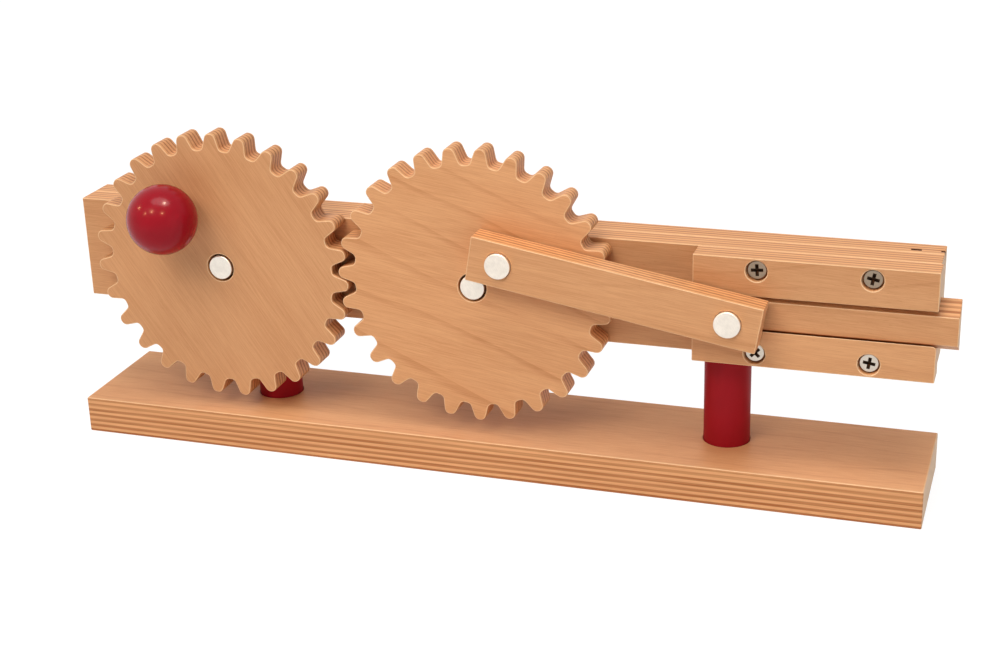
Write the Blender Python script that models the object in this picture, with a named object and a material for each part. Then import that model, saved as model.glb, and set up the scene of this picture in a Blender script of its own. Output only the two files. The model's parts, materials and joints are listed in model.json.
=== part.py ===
"""Hand-cranked wooden motion model: two gears, a connecting rod and a dovetail slider.

Metres, +Z up, +X along the base, the gears on the -Y side.
The origin is the centre of the base's underside.
"""
import math

import bmesh
import bpy
from mathutils import Matrix, Vector

# Shared sizes
PLY = 0.012
GAP = 0.0003
PIN_DIAMETER = 0.012
PIN_CHAMFER = 0.0004
EASED_EDGE = 0.0004
ROUND_STEPS = 40

# Base board
BASE_LENGTH = 0.4095
BASE_DEPTH = 0.0642
BASE_THICKNESS = 0.018
BASE_EDGE = 0.0006

# Posts: the left one stands beside the drive axle, the right one under the rails' left end
POST_DIAMETER = 0.0214
LEFT_POST_FROM_AXLE = 0.0149
RIGHT_POST_FROM_RAIL_END = 0.0118
TENON_DIAMETER = 0.012
TENON_LENGTH = 0.020

# Beam: two boards glued face to face
BEAM_LENGTH = 0.4124
BEAM_HEIGHT = 0.0500
BEAM_CENTRE_Y = 0.0020
BEAM_BELOW_AXLES = 0.00025

# Guide rails and slider, which stands past the beam's right end and keeps clear of the gear
RAIL_LENGTH = 0.1054
RAIL_REACH = 0.0008
UPPER_RAIL_HEIGHT = 0.0177
LOWER_RAIL_HEIGHT = 0.0170
DOVETAIL_ANGLE = math.radians(26.0)
SLIDER_LENGTH = 0.1090
SLIDER_THICKNESS = 0.0112
SLIDER_FACE_HEIGHT = 0.0137
SLIDER_TAIL = 0.0133
SLIDER_REACH = 0.0095
SLIDER_GEAR_CLEARANCE = 0.0021

# Rail screws
SCREW_FROM_RAIL_END = 0.0279
SCREW_SPACING = 0.0496
SCREW_FROM_RAIL_EDGE = 0.0058
SCREW_HEAD_DIAMETER = 0.0082
SCREW_HOLE_DIAMETER = 0.0096
SCREW_RIM = 0.0006
SCREW_SINK = 0.0020
SCREW_SHANK_DIAMETER = 0.0040
SCREW_LENGTH = 0.0203
SCREW_POINT = 0.0030
RECESS_WIDTH = 0.00125
RECESS_SPAN = 0.0056
RECESS_DEPTH = 0.0014

# Gears: the teeth stand out from the pitch circle by the addendum, and clear the
# mate's root by the tip clearance and its flanks by the mesh play
GEAR_TEETH = 27
GEAR_TIP_RADIUS = 0.0658
TOOTH_ADDENDUM = 0.0024
TIP_CLEARANCE = 0.0032
MESH_PLAY = 0.00285
TOOTH_FLANK_ANGLE = math.radians(15.6)
TOOTH_TIP_ROUND = 0.0028
TOOTH_ROOT_ROUND = 0.0022
ROUND_SHARE_OF_SIDE = 0.49
TIP_STEPS = 4
ROOT_STEPS = 3
GEAR_BORE = 0.0136
GEAR_STANDOFF = 0.0010
GEAR_OVER_BASE = 0.0062
CRANK_AXLE_X = -0.0019
CRANK_AXLE_RISE = 0.0009
DRIVE_TOOTH_ANGLE = math.radians(-3.4)
MESH_LEAN = math.radians(0.67)
AXLE_DIAMETER = 0.0116
AXLE_PROUD = 0.0003
AXLE_DEPTH = 0.018

# Crank, rod and wrist
CRANK_RADIUS = 0.0236
CRANK_ANGLE = math.radians(44.0)
ROD_WIDTH = 0.0210
ROD_END = 0.0141
ROD_STANDOFF = 0.0010
ROD_EDGE = 0.0005
PIN_PROUD = 0.0016
CRANK_PIN_INSET = 0.0010
WRIST_RISE = 0.0003

# Hand knob
KNOB_DIAMETER = 0.0330
KNOB_RADIUS_ON_GEAR = 0.0338
KNOB_ANGLE = math.radians(122.0)
KNOB_STANDOFF = 0.0025
STEM_DIAMETER = 0.0080
STEM_IN_GEAR = 0.0100
STEM_IN_KNOB = 0.0120

# Colours as hex, roughness, metallic value
FINISHES = {
    "clear_ply": ("D29A66", 0.45, 0.0),
    "red_post": ("8C1A1E", 0.45, 0.0),
    "red_knob": ("B01424", 0.12, 0.0),
    "bright_pin": ("E6E2DA", 0.35, 1.0),
    "steel_screw": ("B4AAA0", 0.35, 1.0),
}

# Places worked out from the sizes above: the gears
PITCH_RADIUS = GEAR_TIP_RADIUS - TOOTH_ADDENDUM
GEAR_ROOT_RADIUS = PITCH_RADIUS - TOOTH_ADDENDUM - TIP_CLEARANCE
GEAR_CENTRES = 2 * PITCH_RADIUS
TOOTH_THICKNESS = (2 * math.pi * PITCH_RADIUS / GEAR_TEETH - MESH_PLAY) / 2
DRIVE_AXLE_Z = BASE_THICKNESS + GEAR_OVER_BASE + GEAR_TIP_RADIUS
CRANK_AXLE_Z = DRIVE_AXLE_Z + CRANK_AXLE_RISE
CENTRES_ANGLE = math.asin(CRANK_AXLE_RISE / GEAR_CENTRES)
DRIVE_AXLE_X = CRANK_AXLE_X - GEAR_CENTRES * math.cos(CENTRES_ANGLE)

# Depths, from the beam forwards
BEAM_THICKNESS = 2 * PLY + GAP
BEAM_FRONT = BEAM_CENTRE_Y - BEAM_THICKNESS / 2
BEAM_BACK = BEAM_CENTRE_Y + BEAM_THICKNESS / 2
GEAR_BACK = BEAM_FRONT - GEAR_STANDOFF
GEAR_FRONT = GEAR_BACK - PLY
ROD_BACK = GEAR_FRONT - ROD_STANDOFF
ROD_FRONT = ROD_BACK - PLY
RAIL_BACK = BEAM_FRONT - GAP
RAIL_FRONT = RAIL_BACK - PLY
SLIDER_BACK = BEAM_FRONT - GAP
SLIDER_FRONT = SLIDER_BACK - SLIDER_THICKNESS

# Heights: the axles lie about the middle of the beam, the slider on the lower rail
BEAM_CENTRE_Z = (DRIVE_AXLE_Z + CRANK_AXLE_Z) / 2 - BEAM_BELOW_AXLES
BEAM_UNDERSIDE = BEAM_CENTRE_Z - BEAM_HEIGHT / 2
BEAM_TOP = BEAM_CENTRE_Z + BEAM_HEIGHT / 2
SLOPE = math.tan(DOVETAIL_ANGLE)
LOWER_RAIL_TOP = BEAM_UNDERSIDE + LOWER_RAIL_HEIGHT
SLIDER_LIFT = GAP / math.cos(DOVETAIL_ANGLE)
SLIDER_FACE_BOTTOM = LOWER_RAIL_TOP - SLOPE * (SLIDER_FRONT - RAIL_FRONT) + SLIDER_LIFT
SLIDER_FACE_TOP = SLIDER_FACE_BOTTOM + SLIDER_FACE_HEIGHT
WRIST_Z = (SLIDER_FACE_BOTTOM + SLIDER_FACE_TOP) / 2 + WRIST_RISE

# Crank and rod: the rod is as long as keeps the slider's tail clear of the gear's teeth
# when the crank pin is at its furthest left
ROD_CENTRES = CRANK_RADIUS + GEAR_TIP_RADIUS + SLIDER_GEAR_CLEARANCE + SLIDER_TAIL
CRANK_PIN_X = CRANK_AXLE_X + CRANK_RADIUS * math.cos(CRANK_ANGLE)
CRANK_PIN_Z = CRANK_AXLE_Z + CRANK_RADIUS * math.sin(CRANK_ANGLE)
ROD_ANGLE = -math.asin((CRANK_PIN_Z - WRIST_Z) / ROD_CENTRES)
WRIST_X = CRANK_PIN_X + ROD_CENTRES * math.cos(ROD_ANGLE)

# Lengths, from the wrist to the right and back along the beam
SLIDER_LEFT = WRIST_X - SLIDER_TAIL
SLIDER_RIGHT = SLIDER_LEFT + SLIDER_LENGTH
BEAM_RIGHT = SLIDER_RIGHT - SLIDER_REACH
BEAM_LEFT = BEAM_RIGHT - BEAM_LENGTH
RAIL_RIGHT = BEAM_RIGHT + RAIL_REACH
RAIL_LEFT = RAIL_RIGHT - RAIL_LENGTH
LEFT_POST_X = DRIVE_AXLE_X + LEFT_POST_FROM_AXLE
RIGHT_POST_X = RAIL_LEFT + RIGHT_POST_FROM_RAIL_END

# The knob
KNOB_X = DRIVE_AXLE_X + KNOB_RADIUS_ON_GEAR * math.cos(KNOB_ANGLE)
KNOB_Z = DRIVE_AXLE_Z + KNOB_RADIUS_ON_GEAR * math.sin(KNOB_ANGLE)
KNOB_Y = GEAR_FRONT - KNOB_STANDOFF - KNOB_DIAMETER / 2


def linear(channel):
    """One sRGB channel (0 to 1) as a linear value."""
    if channel <= 0.04045:
        return channel / 12.92
    return ((channel + 0.055) / 1.055) ** 2.4


def make_material(name):
    """A Principled material from the FINISHES entry of that name."""
    colour, roughness, metallic = FINISHES[name]
    channels = [int(colour[i:i + 2], 16) / 255 for i in (0, 2, 4)]
    material = bpy.data.materials.new(name)
    material.use_nodes = True
    shader = material.node_tree.nodes["Principled BSDF"]
    shader.inputs["Base Color"].default_value = [linear(c) for c in channels] + [1.0]
    shader.inputs["Roughness"].default_value = roughness
    shader.inputs["Metallic"].default_value = metallic
    return material


def finish(bm, name, material, origin=(0, 0, 0), smooth=False):
    """Turn a bmesh in world coordinates into an object with its origin at the given place."""
    bmesh.ops.recalc_face_normals(bm, faces=bm.faces)
    bmesh.ops.translate(bm, verts=bm.verts, vec=-Vector(origin))
    mesh = bpy.data.meshes.new(name)
    bm.to_mesh(mesh)
    bm.free()
    obj = bpy.data.objects.new(name, mesh)
    obj.location = origin
    bpy.context.scene.collection.objects.link(obj)
    if material:
        mesh.materials.append(material)
    if smooth:
        mesh.shade_smooth()
        mesh.set_sharp_from_angle(angle=math.radians(35))
    return obj


def prism_y(outline, front, back):
    """A bmesh prism: an (x, z) outline run from front to back along Y."""
    bm = bmesh.new()
    ring = [bm.verts.new((x, front, z)) for x, z in outline]
    face = bm.faces.new(ring)
    run = bmesh.ops.extrude_face_region(bm, geom=[face])
    moved = [item for item in run["geom"] if isinstance(item, bmesh.types.BMVert)]
    bmesh.ops.translate(bm, verts=moved, vec=(0, back - front, 0))
    return bm


def prism_x(outline, left, right):
    """A bmesh prism: a (y, z) outline run from left to right along X."""
    bm = bmesh.new()
    ring = [bm.verts.new((left, y, z)) for y, z in outline]
    face = bm.faces.new(ring)
    run = bmesh.ops.extrude_face_region(bm, geom=[face])
    moved = [item for item in run["geom"] if isinstance(item, bmesh.types.BMVert)]
    bmesh.ops.translate(bm, verts=moved, vec=(right - left, 0, 0))
    return bm


def box(x_range, y_range, z_range):
    """A bmesh box between two x, two y and two z values."""
    (x0, x1), (y0, y1), (z0, z1) = x_range, y_range, z_range
    return prism_y([(x0, z0), (x1, z0), (x1, z1), (x0, z1)], y0, y1)


def turned(profile, place, axis="Y"):
    """A turned solid: (radius, distance) points round an axis through place.

    The first and last points lie on the rim of flat end caps.
    """
    bm = bmesh.new()
    rings = []
    for radius, along in profile:
        ring = []
        for step in range(ROUND_STEPS):
            angle = 2 * math.pi * step / ROUND_STEPS
            a = radius * math.cos(angle)
            b = radius * math.sin(angle)
            offset = (a, along, b) if axis == "Y" else (a, b, along)
            ring.append(bm.verts.new(Vector(place) + Vector(offset)))
        rings.append(ring)
    for first, second in zip(rings, rings[1:]):
        for step in range(ROUND_STEPS):
            after = (step + 1) % ROUND_STEPS
            bm.faces.new((first[step], first[after], second[after], second[step]))
    bm.faces.new(rings[0])
    bm.faces.new(rings[-1])
    return bm


def chamfered_pin(radius, front, back):
    """The profile of a plain round pin with both rims chamfered."""
    cut = PIN_CHAMFER
    return [(radius - cut, front), (radius, front + cut), (radius, back - cut), (radius - cut, back)]


def ease_edges(obj, width):
    """Round the sharp edges of a board a little."""
    bevel = obj.modifiers.new("eased edges", "BEVEL")
    bevel.width = width
    bevel.segments = 2
    bevel.limit_method = "ANGLE"
    bevel.angle_limit = math.radians(35)


def cut(obj, cutter):
    """Cut the shape of cutter, a bmesh, out of obj."""
    tool = finish(cutter, obj.name + "_cutter", None)
    tool.hide_render = True
    tool.display_type = "WIRE"
    boolean = obj.modifiers.new("cut", "BOOLEAN")
    boolean.operation = "DIFFERENCE"
    boolean.object = tool


def round_hole(obj, diameter, x, z, front, back):
    """Drill a round hole along Y that runs from front to back."""
    cut(obj, turned([(diameter / 2, front), (diameter / 2, back)], (x, 0, z)))


def rounded_outline(corners):
    """Replace each corner by an arc: corners are (point, radius, steps).

    An arc takes up less than half of the shorter side beside it, so that it leaves
    room for its neighbour.
    """
    count = len(corners)
    outline = []
    for index, (corner, radius, steps) in enumerate(corners):
        before = corners[index - 1][0] - corner
        after = corners[(index + 1) % count][0] - corner
        half = before.angle(after) / 2
        room = ROUND_SHARE_OF_SIDE * min(before.length, after.length)
        reach = min(radius / math.tan(half), room)
        before.normalize()
        after.normalize()
        centre = corner + (before + after).normalized() * (reach / math.cos(half))
        start = corner + before * reach - centre
        turn = start.angle_signed(corner + after * reach - centre)
        for step in range(steps + 1):
            outline.append(centre + Matrix.Rotation(-turn * step / steps, 2) @ start)
    return outline


def gear_outline(first_tooth):
    """The toothed outline, centred on the axle, with a tooth at the given angle."""
    slope = math.tan(TOOTH_FLANK_ANGLE)
    tip_half = TOOTH_THICKNESS / 2 - slope * TOOTH_ADDENDUM
    root_half = TOOTH_THICKNESS / 2 + slope * (PITCH_RADIUS - GEAR_ROOT_RADIUS)
    tip = math.sqrt(GEAR_TIP_RADIUS ** 2 - tip_half ** 2)
    root = math.sqrt(GEAR_ROOT_RADIUS ** 2 - root_half ** 2)
    tooth = [
        (Vector((root, -root_half)), TOOTH_ROOT_ROUND, ROOT_STEPS),
        (Vector((tip, -tip_half)), TOOTH_TIP_ROUND, TIP_STEPS),
        (Vector((tip, tip_half)), TOOTH_TIP_ROUND, TIP_STEPS),
        (Vector((root, root_half)), TOOTH_ROOT_ROUND, ROOT_STEPS),
    ]
    corners = []
    for index in range(GEAR_TEETH):
        turn = Matrix.Rotation(first_tooth + 2 * math.pi * index / GEAR_TEETH, 2)
        corners += [(turn @ point, radius, steps) for point, radius, steps in tooth]
    return rounded_outline(corners)


def build_base(wood):
    """The base board with a through hole for each post."""
    half_length = BASE_LENGTH / 2
    half_depth = BASE_DEPTH / 2
    board = box((-half_length, half_length), (-half_depth, half_depth), (0, BASE_THICKNESS))
    base = finish(board, "base_board", wood)
    ease_edges(base, BASE_EDGE)
    hole = POST_DIAMETER / 2 + GAP
    for x in (LEFT_POST_X, RIGHT_POST_X):
        ends = [(hole, -GAP), (hole, BASE_THICKNESS + GAP)]
        cut(base, turned(ends, (x, BEAM_CENTRE_Y, 0), axis="Z"))


def build_posts(paint):
    """Two round posts that stand in the base and end in a tenon inside the beam."""
    post = POST_DIAMETER / 2
    tenon = TENON_DIAMETER / 2
    shoulder = BEAM_UNDERSIDE - GAP
    profile = [(post, GAP), (post, shoulder), (tenon, shoulder), (tenon, shoulder + TENON_LENGTH)]
    for name, x in (("left_post", LEFT_POST_X), ("right_post", RIGHT_POST_X)):
        finish(turned(profile, (x, BEAM_CENTRE_Y, 0), axis="Z"), name, paint, smooth=True)


def build_beam(wood):
    """Two boards side by side, drilled for the tenons, the axles and the rail screws."""
    front_board = (BEAM_FRONT, BEAM_FRONT + PLY)
    rear_board = (BEAM_BACK - PLY, BEAM_BACK)
    for name, depth in (("beam_front_board", front_board), ("beam_rear_board", rear_board)):
        board = box((BEAM_LEFT, BEAM_RIGHT), depth, (BEAM_UNDERSIDE, BEAM_TOP))
        beam = finish(board, name, wood)
        ease_edges(beam, EASED_EDGE)
        socket = TENON_DIAMETER / 2 + GAP
        for x in (LEFT_POST_X, RIGHT_POST_X):
            ends = [(socket, BEAM_UNDERSIDE - GAP), (socket, BEAM_UNDERSIDE + TENON_LENGTH + GAP)]
            cut(beam, turned(ends, (x, BEAM_CENTRE_Y, 0), axis="Z"))
        for x, z in ((DRIVE_AXLE_X, DRIVE_AXLE_Z), (CRANK_AXLE_X, CRANK_AXLE_Z)):
            bottom = BEAM_FRONT + AXLE_DEPTH + GAP
            round_hole(beam, AXLE_DIAMETER + 2 * GAP, x, z, BEAM_FRONT - GAP, bottom)
        if name == "beam_front_board":
            for x, z in screw_places().values():
                cut(beam, turned(screw_hole_profile(), (x, RAIL_FRONT, z)))


def screw_places():
    """The (x, z) place of each rail screw by its node's name."""
    left = RAIL_LEFT + SCREW_FROM_RAIL_END
    right = left + SCREW_SPACING
    low = BEAM_UNDERSIDE + SCREW_FROM_RAIL_EDGE
    high = BEAM_TOP - SCREW_FROM_RAIL_EDGE
    return {
        "rail_screw_upper_left": (left, high),
        "rail_screw_upper_right": (right, high),
        "rail_screw_lower_left": (left, low),
        "rail_screw_lower_right": (right, low),
    }


def screw_profile():
    """A countersunk screw: (radius, depth behind the rail's front)."""
    head = SCREW_HEAD_DIAMETER / 2
    shank = SCREW_SHANK_DIAMETER / 2
    rim_end = SCREW_SINK + SCREW_RIM
    neck = rim_end + head - shank
    end = SCREW_SINK + SCREW_LENGTH
    point = PIN_CHAMFER
    return [(head, SCREW_SINK), (head, rim_end), (shank, neck), (shank, end - SCREW_POINT), (point, end)]


def screw_hole_profile():
    """The stepped and countersunk hole that the screw sits in."""
    wide = SCREW_HOLE_DIAMETER / 2
    head = SCREW_HEAD_DIAMETER / 2
    shank = SCREW_SHANK_DIAMETER / 2
    room = GAP * math.sqrt(2)
    rim_end = SCREW_SINK + SCREW_RIM
    neck = rim_end + head - shank
    end = SCREW_SINK + SCREW_LENGTH + GAP
    return [(wide, -GAP), (wide, rim_end), (head + room, rim_end), (shank + room, neck), (shank + room, end)]


def build_rails(wood):
    """The upper and lower guide rails with an undercut edge towards the slider."""
    undercut = SLOPE * PLY
    edges = {
        "upper_rail": (BEAM_TOP, BEAM_TOP - UPPER_RAIL_HEIGHT, undercut),
        "lower_rail": (BEAM_UNDERSIDE, LOWER_RAIL_TOP, -undercut),
    }
    for name, (outer, inner, rise) in edges.items():
        outline = [
            (RAIL_FRONT, outer),
            (RAIL_BACK, outer),
            (RAIL_BACK, inner + rise),
            (RAIL_FRONT, inner),
        ]
        rail = finish(prism_x(outline, RAIL_LEFT, RAIL_RIGHT), name, wood)
        ease_edges(rail, EASED_EDGE)
        for screw, (x, z) in screw_places().items():
            if name.split("_")[0] in screw:
                cut(rail, turned(screw_hole_profile(), (x, RAIL_FRONT, z)))


def build_screws(steel):
    """Four countersunk cross-head screws."""
    half_span = RECESS_SPAN / 2
    half_width = RECESS_WIDTH / 2
    face = RAIL_FRONT + SCREW_SINK
    depth = (face - GAP, face + RECESS_DEPTH)
    for name, (x, z) in screw_places().items():
        screw = finish(turned(screw_profile(), (x, RAIL_FRONT, z)), name, steel, smooth=True)
        cut(screw, box((x - half_span, x + half_span), depth, (z - half_width, z + half_width)))
        cut(screw, box((x - half_width, x + half_width), depth, (z - half_span, z + half_span)))


def build_gear(name, wood, axle, first_tooth, hole_diameter, hole, hole_bottom):
    """A flat gear with its bore and one more hole, for the knob's stem or the crank pin.

    The axle and the hole are (x, z) places.
    """
    axle_x, axle_z = axle
    outline = [(axle_x + p.x, axle_z + p.y) for p in gear_outline(first_tooth)]
    origin = (axle_x, (GEAR_FRONT + GEAR_BACK) / 2, axle_z)
    gear = finish(prism_y(outline, GEAR_FRONT, GEAR_BACK), name, wood, origin)
    round_hole(gear, GEAR_BORE, axle_x, axle_z, GEAR_FRONT - GAP, GEAR_BACK + GAP)
    round_hole(gear, hole_diameter + 2 * GAP, hole[0], hole[1], GEAR_FRONT - GAP, hole_bottom)


def crank_tooth_angle():
    """The angle of the crank gear's tooth that stands in a space of the drive gear.

    It is mirrored about the line of centres, and leans a little in the play.
    """
    space_angle = DRIVE_TOOTH_ANGLE + math.pi / GEAR_TEETH
    return math.pi + 2 * CENTRES_ANGLE - space_angle + MESH_LEAN


def build_gears(wood):
    """The drive gear and the crank gear, in mesh."""
    build_gear(
        "drive_gear", wood, (DRIVE_AXLE_X, DRIVE_AXLE_Z), DRIVE_TOOTH_ANGLE,
        STEM_DIAMETER, (KNOB_X, KNOB_Z), GEAR_FRONT + STEM_IN_GEAR + GAP,
    )
    build_gear(
        "crank_gear", wood, (CRANK_AXLE_X, CRANK_AXLE_Z), crank_tooth_angle(),
        PIN_DIAMETER, (CRANK_PIN_X, CRANK_PIN_Z), GEAR_BACK + GAP,
    )


def build_axles(metal):
    """Plain round axles set in the beam, one for each gear."""
    profile = chamfered_pin(AXLE_DIAMETER / 2, GEAR_FRONT - AXLE_PROUD, BEAM_FRONT + AXLE_DEPTH)
    places = {
        "drive_axle": (DRIVE_AXLE_X, 0, DRIVE_AXLE_Z),
        "crank_axle": (CRANK_AXLE_X, 0, CRANK_AXLE_Z),
    }
    for name, place in places.items():
        finish(turned(profile, place), name, metal, smooth=True)


def build_rod(wood, metal):
    """The connecting rod with the crank pin at its left end and the wrist pin at its right."""
    along = Vector((math.cos(ROD_ANGLE), math.sin(ROD_ANGLE)))
    across = Vector((-along.y, along.x)) * (ROD_WIDTH / 2)
    left = Vector((CRANK_PIN_X, CRANK_PIN_Z)) - along * ROD_END
    right = Vector((WRIST_X, WRIST_Z)) + along * ROD_END
    outline = [left - across, right - across, right + across, left + across]
    origin = (CRANK_PIN_X, (ROD_FRONT + ROD_BACK) / 2, CRANK_PIN_Z)
    rod = finish(prism_y(outline, ROD_FRONT, ROD_BACK), "connecting_rod", wood, origin)
    ease_edges(rod, ROD_EDGE)
    pin_front = ROD_FRONT - PIN_PROUD
    ends = {
        "crank_pin": (CRANK_PIN_X, CRANK_PIN_Z, GEAR_BACK - CRANK_PIN_INSET),
        "wrist_pin": (WRIST_X, WRIST_Z, RAIL_FRONT - GAP),
    }
    for name, (x, z, pin_back) in ends.items():
        round_hole(rod, PIN_DIAMETER + 2 * GAP, x, z, ROD_FRONT - GAP, ROD_BACK + GAP)
        profile = chamfered_pin(PIN_DIAMETER / 2, pin_front, pin_back)
        finish(turned(profile, (x, 0, z)), name, metal, (x, ROD_FRONT, z), smooth=True)


def build_slider(wood):
    """The dovetail bar that runs between the rails."""
    rise = SLOPE * SLIDER_THICKNESS
    outline = [
        (SLIDER_FRONT, SLIDER_FACE_BOTTOM),
        (SLIDER_BACK, SLIDER_FACE_BOTTOM - rise),
        (SLIDER_BACK, SLIDER_FACE_TOP + rise),
        (SLIDER_FRONT, SLIDER_FACE_TOP),
    ]
    origin = (WRIST_X, (SLIDER_FRONT + SLIDER_BACK) / 2, WRIST_Z)
    slider = finish(prism_x(outline, SLIDER_LEFT, SLIDER_RIGHT), "slider_bar", wood, origin)
    ease_edges(slider, EASED_EDGE / 2)


def build_knob(paint):
    """The ball knob and the stem that joins it to the drive gear."""
    origin = (KNOB_X, KNOB_Y, KNOB_Z)
    bm = bmesh.new()
    bmesh.ops.create_uvsphere(bm, u_segments=28, v_segments=16, radius=KNOB_DIAMETER / 2)
    bmesh.ops.rotate(bm, verts=bm.verts, matrix=Matrix.Rotation(math.pi / 2, 3, "X"))
    bmesh.ops.translate(bm, verts=bm.verts, vec=origin)
    ball = finish(bm, "knob_ball", paint, origin, smooth=True)
    ball_back = KNOB_Y + KNOB_DIAMETER / 2
    stem_front = ball_back - STEM_IN_KNOB
    round_hole(ball, STEM_DIAMETER + 2 * GAP, KNOB_X, KNOB_Z, stem_front - GAP, ball_back + GAP)
    radius = STEM_DIAMETER / 2
    profile = chamfered_pin(radius, stem_front, GEAR_FRONT + STEM_IN_GEAR)
    finish(turned(profile, (KNOB_X, 0, KNOB_Z)), "knob_stem", paint, origin, smooth=True)


def main():
    for obj in list(bpy.context.scene.objects):
        bpy.data.objects.remove(obj)
    materials = {name: make_material(name) for name in FINISHES}
    wood = materials["clear_ply"]
    build_base(wood)
    build_posts(materials["red_post"])
    build_beam(wood)
    build_rails(wood)
    build_screws(materials["steel_screw"])
    build_gears(wood)
    build_axles(materials["bright_pin"])
    build_rod(wood, materials["bright_pin"])
    build_slider(wood)
    build_knob(materials["red_knob"])


main()
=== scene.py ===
"""The looks of the hand-cranked wooden motion model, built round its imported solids."""
import json
import math

import bpy
from mathutils import Matrix, Vector

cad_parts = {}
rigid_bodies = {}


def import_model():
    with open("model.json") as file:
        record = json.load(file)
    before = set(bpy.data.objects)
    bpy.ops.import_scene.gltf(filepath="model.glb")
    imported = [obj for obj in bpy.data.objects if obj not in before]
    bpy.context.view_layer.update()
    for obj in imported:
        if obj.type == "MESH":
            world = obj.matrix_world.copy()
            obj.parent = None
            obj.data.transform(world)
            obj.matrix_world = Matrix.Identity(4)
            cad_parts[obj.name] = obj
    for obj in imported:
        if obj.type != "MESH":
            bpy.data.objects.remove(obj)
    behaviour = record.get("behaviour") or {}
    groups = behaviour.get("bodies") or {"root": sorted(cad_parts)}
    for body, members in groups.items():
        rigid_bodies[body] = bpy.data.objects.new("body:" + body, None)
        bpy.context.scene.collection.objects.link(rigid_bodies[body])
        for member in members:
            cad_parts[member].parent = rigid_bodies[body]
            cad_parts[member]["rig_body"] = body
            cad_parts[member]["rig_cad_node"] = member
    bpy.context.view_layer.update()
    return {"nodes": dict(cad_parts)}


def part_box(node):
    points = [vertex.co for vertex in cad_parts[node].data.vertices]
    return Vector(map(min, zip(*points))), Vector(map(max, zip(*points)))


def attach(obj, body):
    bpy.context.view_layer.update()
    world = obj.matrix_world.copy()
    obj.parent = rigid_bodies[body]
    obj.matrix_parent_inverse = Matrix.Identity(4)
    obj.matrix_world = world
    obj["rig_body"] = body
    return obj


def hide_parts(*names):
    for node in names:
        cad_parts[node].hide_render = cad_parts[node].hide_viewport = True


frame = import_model()

bl_info = {
    "name": "Wooden motion model",
    "version": (1, 0, 0),
    "blender": (4, 5, 0),
    "location": "View3D > Sidebar > Motion model",
    "description": "Plywood gears, a connecting rod and a dovetail slider on a plank",
    "category": "Add Mesh",
}

MM = 0.001
IMAGE_WIDTH = 1000
IMAGE_HEIGHT = 667
SENSOR_WIDTH = 36.0

# Plies of a 12 mm board, sides of a round piece, the turn past which an edge is sharp, and
# the distance within which points are one
BOARD_PLIES = 9
ROUND_SIDES = 96
SHARP_TURN = math.radians(40)
SAME_PLACE = 0.01 * MM

# How far each step of a seed moves a pattern, in mm
SEED_STEPS = (37.0, 11.0, 53.0)

# The wave texture's scale at which one band is one unit wide
ONE_BAND = 0.314

# Inner and outer end of a slot's cutter, as shares of its span, depth and width
SLOT_INNER = (0.4, 1, 0.8)
SLOT_OUTER = (1.6, 1, 1.2)


class SizeSettings(bpy.types.PropertyGroup):
    """Small sizes that the solids leave to the finished surface."""

    board_edge: bpy.props.FloatProperty(
        name="Board edge", description="Rounding of the edges of beam, rails, rod and stem",
        default=0.4 * MM, unit="LENGTH")
    base_edge: bpy.props.FloatProperty(
        name="Base edge", description="Rounding of the base board's edges",
        default=0.6 * MM, unit="LENGTH")
    slider_edge: bpy.props.FloatProperty(
        name="Slider edge", description="Rounding of the slider's edges",
        default=0.3 * MM, unit="LENGTH")
    gear_edge: bpy.props.FloatProperty(
        name="Gear edge", description="Rounding where a gear's face meets its teeth",
        default=0.45 * MM, unit="LENGTH")
    worn_corner: bpy.props.FloatProperty(
        name="Worn corner", description="Rounding of the lower rail's corner by the slider's end",
        default=1.6 * MM, unit="LENGTH")
    turned_edge: bpy.props.FloatProperty(
        name="Turned edge", description="Rounding of the ends of pins and posts",
        default=0.5 * MM, unit="LENGTH")
    dovetail: bpy.props.FloatProperty(
        name="Dovetail", description="Slope of the slider's sides",
        default=math.radians(26), subtype="ANGLE")
    rod_width: bpy.props.FloatProperty(
        name="Rod width", description="Height of the connecting rod's face",
        default=21.0 * MM, unit="LENGTH")
    rod_end: bpy.props.FloatProperty(
        name="Rod end", description="Wood beyond each pin's centre",
        default=14.1 * MM, unit="LENGTH")
    screw_hole: bpy.props.FloatProperty(
        name="Screw hole", description="Diameter of the counterbore round a screw head",
        default=9.6 * MM, unit="LENGTH")
    recess_span: bpy.props.FloatProperty(
        name="Recess span", description="Length of each slot of a screw's cross",
        default=5.4 * MM, unit="LENGTH")
    recess_width: bpy.props.FloatProperty(
        name="Recess width", description="Width of each slot of a screw's cross",
        default=1.5 * MM, unit="LENGTH")
    recess_depth: bpy.props.FloatProperty(
        name="Recess depth", description="Depth of a screw's cross",
        default=1.5 * MM, unit="LENGTH")


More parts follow.
